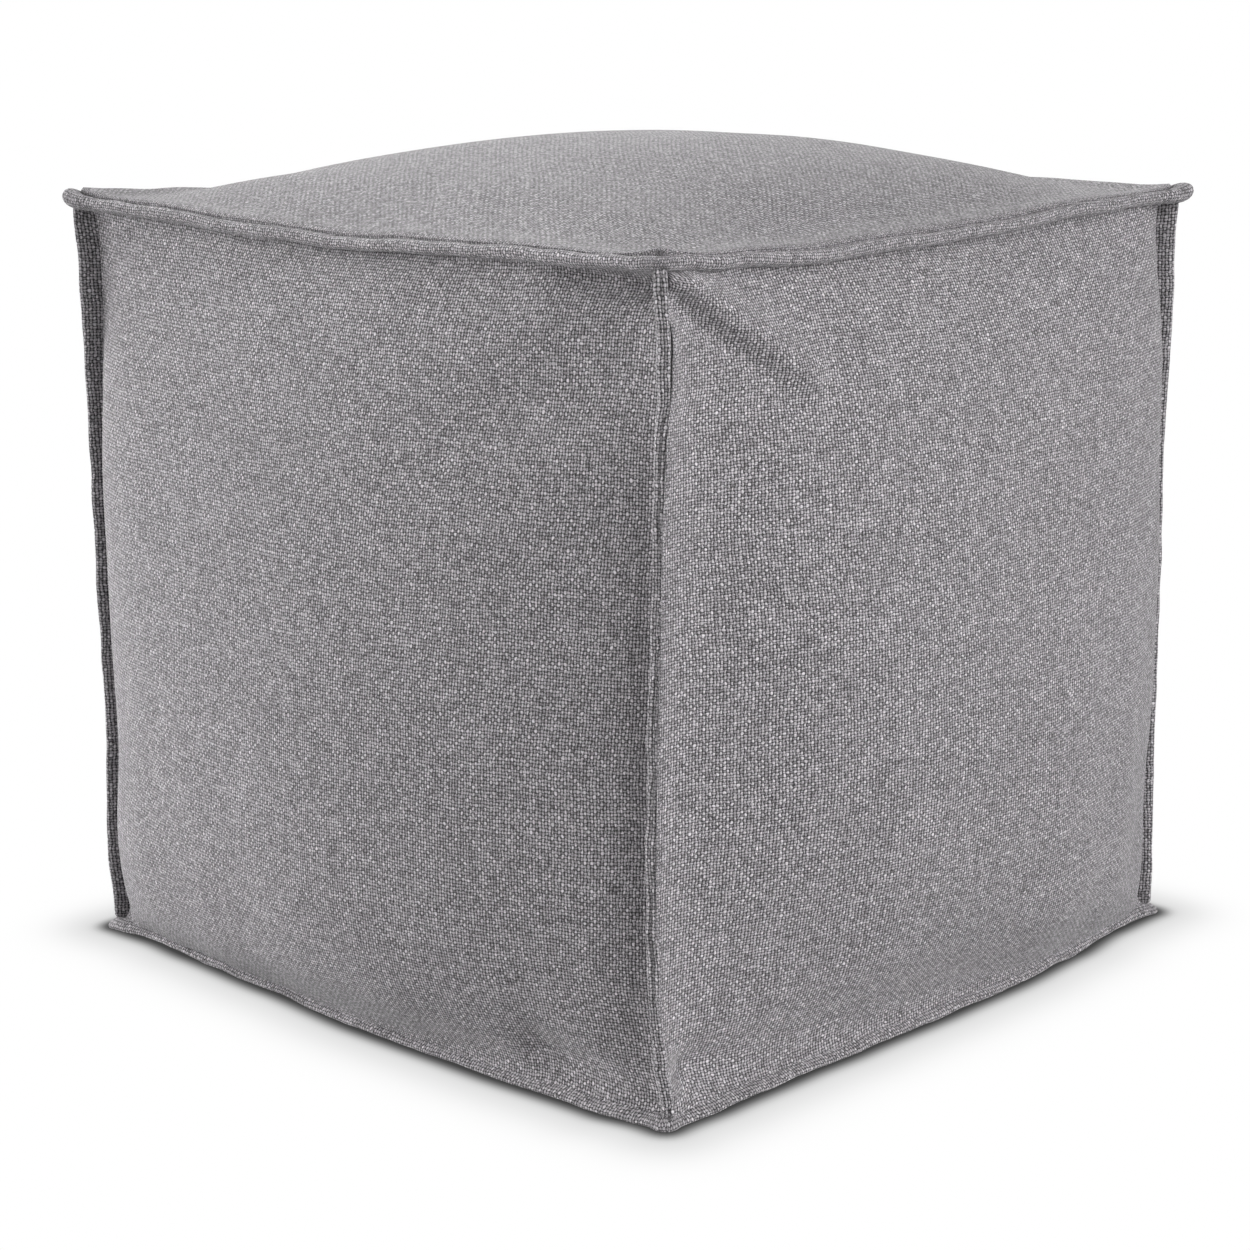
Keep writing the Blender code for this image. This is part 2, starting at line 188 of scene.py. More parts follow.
# Droop of the top seam between its corners. Columns: share of the edge, drop
TOP_SAG = {
    "front": [(0.0, 0.0), (0.12, 0.0010), (0.3, 0.0036), (0.49, 0.0043), (0.62, 0.0022),
              (0.85, 0.0002), (1.0, 0.0)],
    "right": [(0.0, 0.0), (0.1, 0.0022), (0.27, 0.0056), (0.4, 0.0050), (0.6, 0.0048),
              (0.8, 0.0015), (1.0, 0.0)],
    "back": [(0.0, 0.0), (0.15, 0.0012), (0.3, 0.0035), (0.5, 0.0060), (0.8, 0.0025), (1.0, 0.0)],
    "left": [(0.0, 0.0), (0.25, 0.0045), (0.5, 0.0080), (0.77, 0.0060), (0.89, 0.0016),
             (0.96, -0.0012), (1.0, 0.0)],
}


def read_table(rows, share):
    """Value at a share of the way, eased between the rows of a table."""
    for (low, low_value), (high, high_value) in zip(rows, rows[1:]):
        if share <= high:
            part = (share - low) / (high - low)
            eased = part * part * (3 - 2 * part)
            return low_value + (high_value - low_value) * eased
    return rows[-1][1]


def corner_outward(corner):
    return Vector((*CORNERS[corner], 0)).normalized()


def corner_sideways(corner):
    x_sign, y_sign = CORNERS[corner]
    return Vector((-y_sign, x_sign, 0)).normalized()


def bulge(share, power):
    """Height of a stuffed panel along one direction, 1 in its middle and 0 at its seams."""
    return max(0.0, 4 * share * (1 - share)) ** power


def upright_seam(corner, share):
    """Point on an upright seam, from the base seam (0) to the top seam (1)."""
    rows = UPRIGHT_SEAMS[corner]
    x = read_table([(at, seam_x) for at, seam_x, _ in rows], share)
    y = read_table([(at, seam_y) for at, _, seam_y in rows], share)
    seam = Vector((x, y, BASE_SEAM_HEIGHT + (TOP_SEAM_HEIGHT[corner] - BASE_SEAM_HEIGHT) * share))
    return seam + corner_sideways(corner) * read_table(UPRIGHT_SHIFT[corner], share)


def edge_corners(edge):
    return next((first, second) for name, first, second in EDGES if name == edge)


def top_seam(edge, share):
    first, second = (upright_seam(corner, 1.0) for corner in edge_corners(edge))
    point = first.lerp(second, share)
    point -= EDGE_NORMALS[edge] * TOP_DRAW_IN * 4 * share * (1 - share)
    point.z -= read_table(TOP_SAG[edge], share)
    return point


def base_seam(edge, share):
    first, second = (upright_seam(corner, 0.0) for corner in edge_corners(edge))
    return first.lerp(second, share) + EDGE_NORMALS[edge] * read_table(BASE_SPREAD[edge], share)


def blended_patch(low, high, start, end, across, up):
    """Coons patch between four seam curves, at shares across and up."""
    rows = low(across).lerp(high(across), up)
    columns = start(up).lerp(end(up), across)
    corners = low(0).lerp(low(1), across).lerp(high(0).lerp(high(1), across), up)
    return rows + columns - corners


def eased(distance, reach):
    """Rises softly from 0 at a seam to 1 well away from it."""
    return 1 - math.exp(-max(0.0, distance) / reach)


def fading(distance, reach):
    return math.exp(-max(0.0, distance) / reach)


def upright_direction(corner, share):
    """Level direction in which an upright flange stands out from the cube."""
    lean = math.radians(read_table(UPRIGHT_LEAN[corner], share))
    return Matrix.Rotation(lean, 3, "Z") @ corner_outward(corner)


def ring_direction(edge, share):
    """Level direction of a ring's flange. It turns to the diagonal right at the corners."""
    first, second = edge_corners(edge)
    normal = EDGE_NORMALS[edge]
    turned = (corner_outward(first) - normal) * fading(share, CORNER_TURN)
    turned += (corner_outward(second) - normal) * fading(1 - share, CORNER_TURN)
    return normal + turned


def top_rib(edge, share):
    """Direction in which the top flange stands out."""
    tilt = math.radians(read_table(TOP_TILT[edge], share))
    return ring_direction(edge, share) * math.cos(tilt) + Vector((0, 0, math.sin(tilt)))


def base_rib(edge, share):
    return ring_direction(edge, share) * math.cos(BASE_DROOP) - Vector((0, 0, math.sin(BASE_DROOP)))


def upright_rib(corner, share):
    from_ring = min(share, 1 - share) * SIDE_HEIGHT
    return upright_direction(corner, share) * (1 - RIB_SHORTER * fading(from_ring, RIB_SHORTER_REACH))


def side_fill(up):
    """How full a side panel is at a share of its height. It is fullest low down."""
    peak = SIDE_LOW_POWER / (SIDE_LOW_POWER + SIDE_HIGH_POWER)
    most = peak**SIDE_LOW_POWER * (1 - peak) ** SIDE_HIGH_POWER
    return up**SIDE_LOW_POWER * (1 - up) ** SIDE_HIGH_POWER / most


# Soft creases and dimples of the panels. Columns: depth, rise of the fold along its left side,
# width, start and end, both across and up the panel from 0 to 1
CREASES = {
    "front": [(0.0050, 0.0015, 0.028, (0.985, 0.93), (0.70, 0.76)),
              (0.0170, 0.0, 0.010, (0.975, 0.978), (0.87, 0.982)),
              (0.0062, 0.0, 0.012, (0.84, 0.050), (0.93, 0.034))],
    "right": [(0.0055, 0.0125, 0.0066, (0.014, 0.971), (0.19, 0.845)),
              (0.0068, 0.0, 0.011, (0.040, 0.048), (0.095, 0.036))],
    "back": [(0.0045, 0.0, 0.016, (0.96, 0.93), (0.74, 0.80)),
             (0.0025, 0.0, 0.020, (0.05, 0.10), (0.16, 0.06))],
    "left": [(0.0020, 0.0035, 0.012, (0.05, 0.94), (0.24, 0.83)),
             (0.0030, 0.0, 0.055, (0.95, 0.92), (0.66, 0.70))],
}
FOLD_BESIDE = 1.3                # from the middle of a crease to its fold, in widths of the crease
FOLD_TRAIL = 3.0                 # how much slower the fold falls off beyond
CREASE_FADE = 0.6                # share of its depth that a crease loses on its way to its end


def creases(edge, across, up):
    depth = 0.0
    for deepest, fold, width, start, end in CREASES[edge]:
        along = (Vector(end) - Vector(start)) * PANEL_CUT / width
        place = (Vector((across, up)) - Vector(start)) * PANEL_CUT / width
        forward = place.dot(along.normalized())
        beyond = forward - max(0.0, min(along.length, forward))
        aside = along.normalized().cross(place)
        fade = (1 - CREASE_FADE * max(0.0, min(1.0, forward / along.length))) * math.exp(-beyond * beyond)
        depth += deepest * fade * math.exp(-aside * aside)
        beside = aside - FOLD_BESIDE
        depth -= fold * fade * math.exp(-((beside if beside < 0 else beside / FOLD_TRAIL) ** 2))
    return depth


def side_point(edge, across, up):
    first, second = edge_corners(edge)
    point = blended_patch(
        lambda share: base_seam(edge, share),
        lambda share: top_seam(edge, share),
        lambda share: upright_seam(first, share),
        lambda share: upright_seam(second, share),
        across,
        up,
    )
    first_power, second_power = SIDE_POWERS[edge]
    first_softness, second_softness = (read_table(rows, up) for rows in SEAM_SOFTNESS[edge])
    power = read_table(first_power if across < 0.5 else second_power, up)
    puff = SIDE_PUFF[edge] * bulge(across, power) * side_fill(up)
    puff *= eased(across, first_softness) * eased(1 - across, second_softness)
    puff *= eased(up, read_table(BASE_SOFTNESS[edge], across))
    puff *= eased(1 - up, read_table(TOP_SOFTNESS[edge], across))
    uneven = noise.noise(point * UNDULATION_SCALE)
    uneven += FINE_UNDULATION * noise.noise(point * FINE_UNDULATION_SCALE)
    uneven *= UNDULATION * bulge(across, UNDULATION_POWER) * bulge(up, UNDULATION_POWER)
    point += EDGE_NORMALS[edge] * (puff + uneven - creases(edge, across, up))
    for corner, side, distance in ((first, 0, across * PANEL_WIDTH), (second, 1, (1 - across) * PANEL_WIDTH)):
        drawn = UPRIGHT_TUCK[edge][side] * fading(distance, UPRIGHT_FILLET[edge][side])
        point += upright_rib(corner, up) * drawn
        aside = UPRIGHT_ASIDE[edge][side] * bulge(up, ASIDE_POWER)
        aside *= math.exp(-((distance / ASIDE_REACH) ** 2))
        point += corner_sideways(corner) * (aside if side == 0 else -aside)
    point += base_rib(edge, across) * BASE_TUCK * fading(up * SIDE_HEIGHT, BASE_FILLET)
    return point + top_rib(edge, across) * UNDER_TUCK * fading((1 - up) * SIDE_HEIGHT, UNDER_FILLET)


def seam_frame_patch(seam, across, back):
    """Point of the top or base panel, across from left to right and back from the front seam."""
    return blended_patch(
        lambda share: seam("front", share),
        lambda share: seam("back", 1 - share),
        lambda share: seam("left", 1 - share),
        lambda share: seam("right", share),
        across,
        back,
    )


def on_edge(share):
    return share < 0.00001 or share > 0.99999


def frame_ribs(rib, across, back, fillet):
    """How the four flanges round the top or base panel draw its cloth out into themselves."""
    drawn = rib("front", across) * fading(back * PANEL_WIDTH, fillet)
    drawn += rib("back", 1 - across) * fading((1 - back) * PANEL_WIDTH, fillet)
    drawn += rib("left", 1 - back) * fading(across * PANEL_WIDTH, fillet)
    return drawn + rib("right", back) * fading((1 - across) * PANEL_WIDTH, fillet)


def top_point(across, back):
    point = seam_frame_patch(top_seam, across, back)
    from_seam = min(across, 1 - across, back, 1 - back) * PANEL_WIDTH
    point.z += (CROWN_RISE * bulge(across, CROWN_POWER) * bulge(back, CROWN_POWER)
                * eased(from_seam, CROWN_SOFTNESS))
    if from_seam > 0:
        point.z += CROWN_LIFT * math.exp(-((from_seam / CROWN_LIFT_REACH) ** 2))
    uneven = noise.noise(point * UNDULATION_SCALE)
    point.z += UNDULATION * uneven * bulge(across, UNDULATION_POWER) * bulge(back, UNDULATION_POWER)
    if on_edge(across) or on_edge(back):
        return point + frame_ribs(top_rib, across, back, CROWN_FILLET) * UNDER_TUCK
    return point + frame_ribs(top_rib, across, back, CROWN_FILLET) * CROWN_TUCK


def base_point(across, back):
    """The base panel lies on the floor and curves up to its seam in its outer tenth."""
    point = seam_frame_patch(base_seam, across, back)
    outward = max(abs(2 * across - 1), abs(2 * back - 1))
    lift = max(0.0, (outward - BASE_REST_SHARE) / (1 - BASE_REST_SHARE))
    point.z = BASE_SEAM_HEIGHT * lift**2
    return point + frame_ribs(base_rib, across, back, BASE_FILLET / 2) * BASE_TUCK


def cell_share(index):
    even = index / PANEL_CELLS
    packed = 0.5 - 0.5 * math.cos(math.pi * even)
    return EVEN_CELLS * even + (1 - EVEN_CELLS) * packed


def cloth_point(i, j, k):
    """Place of a lattice point of the cover, each index running from 0 to PANEL_CELLS."""
    across, back, up = cell_share(i), cell_share(j), cell_share(k)
    if k == PANEL_CELLS:
        return top_point(across, back)
    if k == 0:
        return base_point(across, back)
    if j == 0:
        return side_point("front", across, up)
    if i == PANEL_CELLS:
        return side_point("right", back, up)
    if j == PANEL_CELLS:
        return side_point("back", 1 - across, up)
    return side_point("left", 1 - back, up)


def run_lengths(points):
    """Distance of each point along a row of cloth from the row's middle."""
    lengths = [0.0]
    for before, after in zip(points, points[1:]):
        lengths.append(lengths[-1] + (after - before).length)
    middle = lengths[len(lengths) // 2]
    return [length - middle for length in lengths]


# The six panels: from a place (a, b) on the panel to a point of the cover's lattice
PANEL_LATTICES = {
    "top": lambda a, b: (a, b, PANEL_CELLS), "base": lambda a, b: (a, b, 0),
    "front": lambda a, b: (a, 0, b), "back": lambda a, b: (a, PANEL_CELLS, b),
    "right": lambda a, b: (PANEL_CELLS, a, b), "left": lambda a, b: (0, a, b),
}
PANEL_FACES = {(PANEL_CELLS, 2): "top", (0, 2): "base", (0, 1): "front", (PANEL_CELLS, 1): "back",
               (PANEL_CELLS, 0): "right", (0, 0): "left"}      # lattice index and its axis


def lay_panel_weave(mesh, lattice_of):
    """UV map in metres of cloth, so that the weave runs along each panel as it was cut."""
    vertex_at = {lattice: index for index, lattice in lattice_of.items()}
    steps = range(PANEL_CELLS + 1)
    cloth_of = {}
    for number, (name, panel) in enumerate(PANEL_LATTICES.items()):
        places = [[mesh.vertices[vertex_at[panel(a, b)]].co for b in steps] for a in steps]
        along = [run_lengths([places[a][b] for a in steps]) for b in steps]
        upward = [run_lengths(places[a]) for a in steps]
        stretch_along, stretch_up = PANEL_STRETCH[name]
        for a in steps:
            for b in steps:
                cloth_of[name, panel(a, b)] = (along[b][a] / stretch_along + 0.7 * number,
                                               upward[a][b] / stretch_up - 0.9 * number)
    weave = mesh.uv_layers.active.data
    for face in mesh.polygons:
        spots = [lattice_of[index] for index in face.vertices]
        sides = [({spot[axis] for spot in spots}, axis) for axis in range(3)]
        side = next((at.pop(), axis) for at, axis in sides if len(at) == 1 and at <= {0, PANEL_CELLS})
        for corner, spot in zip(face.loop_indices, spots):
            weave[corner].uv = cloth_of[PANEL_FACES[side], spot]


def node(tree, kind, inputs=None, **settings):
    """Adds a shader node, sets it up and wires or fills its inputs."""
    made = tree.nodes.new(kind)
    for setting, value in settings.items():
        setattr(made, setting, value)
    for name, value in (inputs or {}).items():
        if isinstance(value, bpy.types.NodeSocket):
            tree.links.new(value, made.inputs[name])
        else:
            made.inputs[name].default_value = value
    return made


def maths(tree, operation, first, second=0.0, third=0.0):
    return node(tree, "ShaderNodeMath", {0: first, 1: second, 2: third}, operation=operation).outputs[0]


def ranged(tree, value, low, high, to_low, to_high, smooth=False):
    kind = "SMOOTHSTEP" if smooth else "LINEAR"
    inputs = {"Value": value, "From Min": low, "From Max": high, "To Min": to_low, "To Max": to_high}
    return node(tree, "ShaderNodeMapRange", inputs, interpolation_type=kind).outputs["Result"]


def set_stops(ramp, stops):
    """Gives a ramp these stops, each a position and a colour, and leaves none of its own."""
    elements = ramp.color_ramp.elements
    for number, (position, colour) in enumerate(stops):
        stop = elements[number] if number < 2 else elements.new(position)
        stop.position = position
        stop.color = (*colour, 1.0)


# The cloth's yarns. Runs are in changes per crossing
PITCH_ACROSS = 0.00176
PITCH_UP = 0.00179
SLUB = 0.14                      # how much a yarn's shade swings over some centimetres
FIBRE = 0.58                     # and within a crossing
SPECK = 0.48                     # how much single crossings differ
WARP_PAINTED_LIGHTER = 0.30              # painted light: how much lighter upright yarns are made than level ones, as the light falls on them
CLOUD = 0.03
GAP_PAINTED_SHADE = -2.10                 # painted shade in the gaps between yarns, and painted highlight on the yarns' high points
HIGH_POINT_PAINTED_HIGHLIGHT = 0.70
YARN_ROUNDNESS = 2.4             # power of a yarn's cross-section
RISE_OVER = 0.42                 # share of its height that a yarn gains where it crosses on top
YARN_NARROWNESS = (1.70, 2.60)   # 2 for a yarn as wide as its pitch, more for a thinner one
NARROWNESS_RUN = 0.60
SLUB_RUN = 0.07
FIBRE_RUN = 1.7
FIBRE_SEED = 19.0
SEED_STEP = 7.31                 # between the noises of one yarn and the next
WANDERS = ((11.0, 0.0050), (150.0, 0.0009), (430.0, 0.0010))     # per metre, and how far
CLOUD_SCALE = 9.0
FUZZ_SCALE = 2600.0
FUZZ_RELIEF = 0.25
BUMP_HEIGHT = 0.0005
YARN_GREYS = [(0.0, 0.035), (0.28, 0.105), (0.55, 0.255), (0.78, 0.46), (1.0, 0.70)]
YARN_TINT = (1.0, 0.955, 1.0)


def basket_cloth(name):
    """Heathered plain weave of thick slubby yarns, with painted shade in its gaps and a painted highlight on
    its high points.
    """
    material = bpy.data.materials.new(name)
    material.use_nodes = True
    tree = material.node_tree
    shader = tree.nodes["Principled BSDF"]
    place = node(tree, "ShaderNodeTexCoord").outputs["UV"]

    # The yarns wander a little, so that no row is quite straight
    def wander(scale, reach):
        drift = node(tree, "ShaderNodeTexNoise", {"Vector": place, "Scale": scale, "Detail": 1.0},
                     noise_dimensions="2D").outputs["Color"]
        centred = node(tree, "ShaderNodeVectorMath", {0: drift, 1: (0.5, 0.5, 0.5)}, operation="SUBTRACT")
        return node(tree, "ShaderNodeVectorMath", {0: centred.outputs[0], "Scale": reach},
                    operation="SCALE").outputs[0]

    wandered = place
    for scale, reach in WANDERS:
        wandered = node(tree, "ShaderNodeVectorMath", {0: wandered, 1: wander(scale, reach)},
                        operation="ADD").outputs[0]
    split = node(tree, "ShaderNodeSeparateXYZ", {0: wandered})
    across = maths(tree, "DIVIDE", split.outputs["X"], PITCH_ACROSS)
    up = maths(tree, "DIVIDE", split.outputs["Y"], PITCH_UP)
    warp = maths(tree, "ROUND", across)
    weft = maths(tree, "ROUND", up)
    off_warp = maths(tree, "SUBTRACT", across, warp)
    off_weft = maths(tree, "SUBTRACT", up, weft)

    # Unevenness of each yarn along its run
    def along_yarn(number, run, seed, per_crossing, low, high):
        spun = node(tree, "ShaderNodeCombineXYZ", {
            "X": maths(tree, "MULTIPLY_ADD", number, SEED_STEP, seed),
            "Y": maths(tree, "MULTIPLY", run, per_crossing)}).outputs[0]
        uneven = node(tree, "ShaderNodeTexNoise", {"Vector": spun, "Scale": 1.0, "Detail": 1.0},
                      noise_dimensions="2D").outputs["Fac"]
        return ranged(tree, uneven, 0.25, 0.75, low, high)

    # Plain weave: each yarn rises over one and dives under the next
    def swing(value):
        return maths(tree, "COSINE", maths(tree, "MULTIPLY", value, math.pi))

    def yarn_height(off, lift, width):
        side = maths(tree, "MULTIPLY", maths(tree, "ABSOLUTE", off), width)
        rounded = maths(tree, "SUBTRACT", 1.0, maths(tree, "POWER", side, YARN_ROUNDNESS))
        return maths(tree, "MULTIPLY", rounded, maths(tree, "MULTIPLY_ADD", lift, RISE_OVER, 1 - RISE_OVER))

    warp_lift = maths(tree, "MULTIPLY", swing(up), swing(warp))
    weft_lift = maths(tree, "MULTIPLY", maths(tree, "MULTIPLY", swing(across), swing(weft)), -1.0)
    warp_width = along_yarn(warp, up, 31.0, NARROWNESS_RUN, *YARN_NARROWNESS)
    weft_width = along_yarn(weft, across, 83.0, NARROWNESS_RUN, *YARN_NARROWNESS)
    warp_height = yarn_height(off_warp, warp_lift, warp_width)
    weft_height = yarn_height(off_weft, weft_lift, weft_width)
    warp_on_top = maths(tree, "GREATER_THAN", warp_height, weft_height)
    height = maths(tree, "MAXIMUM", warp_height, weft_height)

    # Shade of each yarn along its run: slubs, and the light and dark fibres spun together
    def yarn_shade(number, run, seed):
        return maths(tree, "ADD", along_yarn(number, run, seed, SLUB_RUN, -SLUB, SLUB),
                     along_yarn(number, run, seed + FIBRE_SEED, FIBRE_RUN, -FIBRE, FIBRE))

    warp_shade = yarn_shade(warp, up, 11.0)
    weft_shade = yarn_shade(weft, across, 57.0)
    shade = node(tree, "ShaderNodeMix", {"Factor": warp_on_top, "A": weft_shade, "B": warp_shade},
                 data_type="FLOAT").outputs[0]
    crossing = node(tree, "ShaderNodeCombineXYZ", {"X": warp, "Y": weft}).outputs[0]
    speck = node(tree, "ShaderNodeTexWhiteNoise", {"Vector": crossing},
                 noise_dimensions="2D").outputs["Value"]
    shade = maths(tree, "ADD", shade, ranged(tree, speck, 0.0, 1.0, -SPECK, SPECK))
    # Painted light: upright yarns made lighter and level ones darker, as the light falls on them
    shade = maths(tree, "ADD", shade, ranged(tree, warp_on_top, 0.0, 1.0, -WARP_PAINTED_LIGHTER, WARP_PAINTED_LIGHTER))
    cloud = node(tree, "ShaderNodeTexNoise", {"Vector": place, "Scale": CLOUD_SCALE, "Detail": 3.0},
                 noise_dimensions="2D").outputs["Fac"]
    shade = maths(tree, "ADD", shade, ranged(tree, cloud, 0.25, 0.75, -CLOUD, CLOUD))
    # Painted shade in the gaps between yarns and a painted highlight on their high points, set by the height
    # of the weave
    painted_gap_shade_and_highlight = ranged(tree, height, 0.20, 0.80, GAP_PAINTED_SHADE, HIGH_POINT_PAINTED_HIGHLIGHT, smooth=True)
    tone = maths(tree, "ADD", shade, painted_gap_shade_and_highlight)
    ramp = node(tree, "ShaderNodeValToRGB", {"Fac": ranged(tree, tone, -1.8, 1.8, 0.0, 1.0)})
    set_stops(ramp, [(position, [grey * tint for tint in YARN_TINT]) for position, grey in YARN_GREYS])
    tree.links.new(ramp.outputs["Color"], shader.inputs["Base Color"])

    fuzz = node(tree, "ShaderNodeTexNoise", {"Vector": place, "Scale": FUZZ_SCALE, "Detail": 2.0},
                noise_dimensions="2D").outputs["Fac"]
    relief = maths(tree, "MULTIPLY_ADD", fuzz, FUZZ_RELIEF, height)
    bump = node(tree, "ShaderNodeBump", {"Height": relief, "Strength": 0.8, "Distance": BUMP_HEIGHT})
    tree.links.new(bump.outputs["Normal"], shader.inputs["Normal"])
    rough = ranged(tree, fuzz, 0.3, 0.7, 0.84, 0.97)
    tree.links.new(rough, shader.inputs["Roughness"])
    shader.inputs["Specular IOR Level"].default_value = 0.25
    shader.inputs["Sheen Weight"].default_value = 0.22
    shader.inputs["Sheen Roughness"].default_value = 0.45
    return material


bpy.ops.object.select_all(action="DESELECT")
bpy.ops.mesh.primitive_cube_add(size=1)
filled_cube = bpy.context.object
filled_cube.name = "filled_cube"
bpy.ops.object.mode_set(mode="EDIT")
bpy.ops.mesh.subdivide(number_cuts=PANEL_CELLS - 1)
bpy.ops.object.mode_set(mode="OBJECT")
lattice_of = {}
for vertex in filled_cube.data.vertices:
    lattice_of[vertex.index] = tuple(round((value + 0.5) * PANEL_CELLS) for value in vertex.co)
    vertex.co = cloth_point(*lattice_of[vertex.index])
lay_panel_weave(filled_cube.data, lattice_of)

bpy.ops.object.modifier_add(type="SUBSURF")
filled_cube.modifiers["Subdivision"].levels = 1
filled_cube.modifiers["Subdivision"].render_levels = 1
bpy.ops.object.modifier_apply(modifier="Subdivision")
bpy.ops.object.shade_smooth_by_angle(angle=math.radians(60))
filled_cube.data.materials.append(basket_cloth("basket_cloth_of_panels"))
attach(filled_cube, "root")
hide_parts("filled_body")

# ---------------------------------------------------------------------------------------------
# The flanges. Where two panels meet, their seam allowances are turned in, laid back to back and
# topstitched at the root, so that a soft flat rib stands along the seam with a join down its edge.
# First the ring round the top, which stands up a little and pokes out as an ear at each corner but the near
# one.
# ---------------------------------------------------------------------------------------------

FLANGE_WIDTH = 0.0135
FLANGE_THICK = 0.0074            # at the fullest place of the folded edge
FLANGE_ROOT = 0.0025             # how deep the root reaches into the seam
EAR_FULLER = 0.80
EAR_GATHERED = 3.0               # how much more unevenly the cloth is bunched in an ear
EAR_SOFTNESS = 0.007             # how far along the edges an ear spreads
TOP_EARS = {"near": 0.0, "right": 0.76, "rear": 0.50, "left": 0.58}     # extra reach at the corners
CELL_ALONG = 0.0045
CORNER_CELLS = 10
SIDE_OF_EAR = 0.35               # how much of an ear's reach is there already where the edge ends

# Unevenness of a hand-turned flange. Columns: how much, how close its swells lie, seed of its noise
SWAY = (0.0013, 38.0, 3.0)       # of its folded edge, to either side
FINE_SWAY = (0.0006, 120.0, 9.0)
SWELL = (0.16, 55.0, 17.0)       # of its thickness, as a share
BUNCHING = (0.06, 190.0, 5.0)    # of its thickness, most in the ears
REACH_SWELL = (0.05, 60.0, 29.0)     # of its width, as a share

# Outlines. Columns: outward as a share of the width, sideways as a share of half the thickness
ROLLED_OUTLINE = [(0.0, 0.70), (0.15, 0.78), (0.35, 0.90), (0.55, 1.0), (0.72, 0.98), (0.86, 0.86),
                  (0.96, 0.58), (1.0, 0.18), (0.99, -0.25), (0.93, -0.65), (0.80, -0.95), (0.62, -1.0),
                  (0.42, -0.80), (0.25, -0.58), (0.12, -0.48), (0.0, -0.50)]


def outline_lengths(outline, width, thick):
    """Distance of each point along an outline of cloth, and of the end of the last stretch."""
    points = [Vector((outward * width, sideways * thick / 2)) for outward, sideways in outline]
    lengths = [0.0]
    for before, after in zip(points, points[1:] + points[:1]):
        lengths.append(lengths[-1] + (after - before).length)
    return lengths


def pucker(point, most, scale, seed):
    """Slow unevenness of hand-turned cloth, to either side of 0."""
    return most * noise.noise(point * scale + Vector((seed, 0, 0)))


def roll_flange(name, stations, outline, closed, turned_weave):
    """Rolls a flat strip of cloth round a flange's outline, at each station along its seam."""
    count = len(stations) if closed else len(stations) - 1
    bpy.ops.object.select_all(action="DESELECT")
    bpy.ops.mesh.primitive_grid_add(x_subdivisions=count, y_subdivisions=len(outline), size=1)
    strip = bpy.context.object
    strip.name = name
    mesh = strip.data
    round_lengths = outline_lengths(outline, FLANGE_WIDTH, stations[0][4])
    for corner in mesh.uv_layers.active.data:
        along = corner.uv.x * count * CELL_ALONG
        rounded = round_lengths[round(corner.uv.y * len(outline))]
        corner.uv = (rounded, along) if turned_weave else (along, rounded)
    for vertex in mesh.vertices:
        along = round((vertex.co.x + 0.5) * count) % len(stations)
        round_step = round((vertex.co.y + 0.5) * len(outline)) % len(outline)
        point, outward, sideways, width, thick = stations[along]
        out_share, side_share = outline[round_step]
        lean = out_share * (pucker(point, *SWAY) + pucker(point, *FINE_SWAY))
        bunched = 1 + EAR_GATHERED * (width / FLANGE_WIDTH - 1)
        fuller = 1 + pucker(point, *SWELL) + bunched * pucker(point + outward * width, *BUNCHING)
        reach = width * (1 + pucker(point, *REACH_SWELL))
        vertex.co = (point - outward * FLANGE_ROOT + outward * out_share * (reach + FLANGE_ROOT)
                     + sideways * (side_share * fuller * thick / 2 + lean))
    bpy.ops.object.mode_set(mode="EDIT")
    bpy.ops.mesh.select_all(action="SELECT")
    bpy.ops.mesh.remove_doubles(threshold=0.00001)
    if not closed:
        bpy.ops.mesh.select_all(action="DESELECT")
        bpy.ops.mesh.select_non_manifold()
        bpy.ops.mesh.edge_face_add()
    bpy.ops.mesh.select_all(action="SELECT")
    bpy.ops.mesh.normals_make_consistent(inside=False)
    bpy.ops.object.mode_set(mode="OBJECT")
    bpy.ops.object.modifier_add(type="SUBSURF")
    strip.modifiers["Subdivision"].levels = 1
    strip.modifiers["Subdivision"].render_levels = 1
    bpy.ops.object.modifier_apply(modifier="Subdivision")
    bpy.ops.object.shade_smooth()
    return strip


def ring_stations(seam, tilt_at, thick, ears, ear_softness):
    """Stations round the four edges of the cube, with a fan of them round each corner."""
    stations = []
    for number, (edge, first, second) in enumerate(EDGES):
        normal = EDGE_NORMALS[edge]
        next_normal = EDGE_NORMALS[EDGES[(number + 1) % len(EDGES)][0]]
        steps = round(PANEL_WIDTH / CELL_ALONG)
        for step in range(1, steps):
            share = step / steps
            from_first = math.exp(-((share * PANEL_WIDTH / ear_softness) ** 2))
            from_second = math.exp(-(((1 - share) * PANEL_WIDTH / ear_softness) ** 2))
            ear = SIDE_OF_EAR * (ears[first] * from_first + ears[second] * from_second)
            stations.append((seam(edge, share), normal, tilt_at(edge, share), ear))
        for step in range(CORNER_CELLS + 1):
            angle = step / CORNER_CELLS * math.pi / 2
            outward = normal * math.cos(angle) + next_normal * math.sin(angle)
            ear = ears[second] * (SIDE_OF_EAR + (1 - SIDE_OF_EAR) * math.sin(2 * angle) ** 2)
            stations.append((seam(edge, 1.0), outward, tilt_at(edge, 1.0), ear))
    made = []
    for point, outward, tilt, ear in stations:
        raised = outward * math.cos(tilt) + Vector((0, 0, math.sin(tilt)))
        sideways = Vector((0, 0, math.cos(tilt))) - outward * math.sin(tilt)
        made.append((point, raised, sideways, FLANGE_WIDTH * (1 + ear), thick * (1 + EAR_FULLER * ear)))
    return made


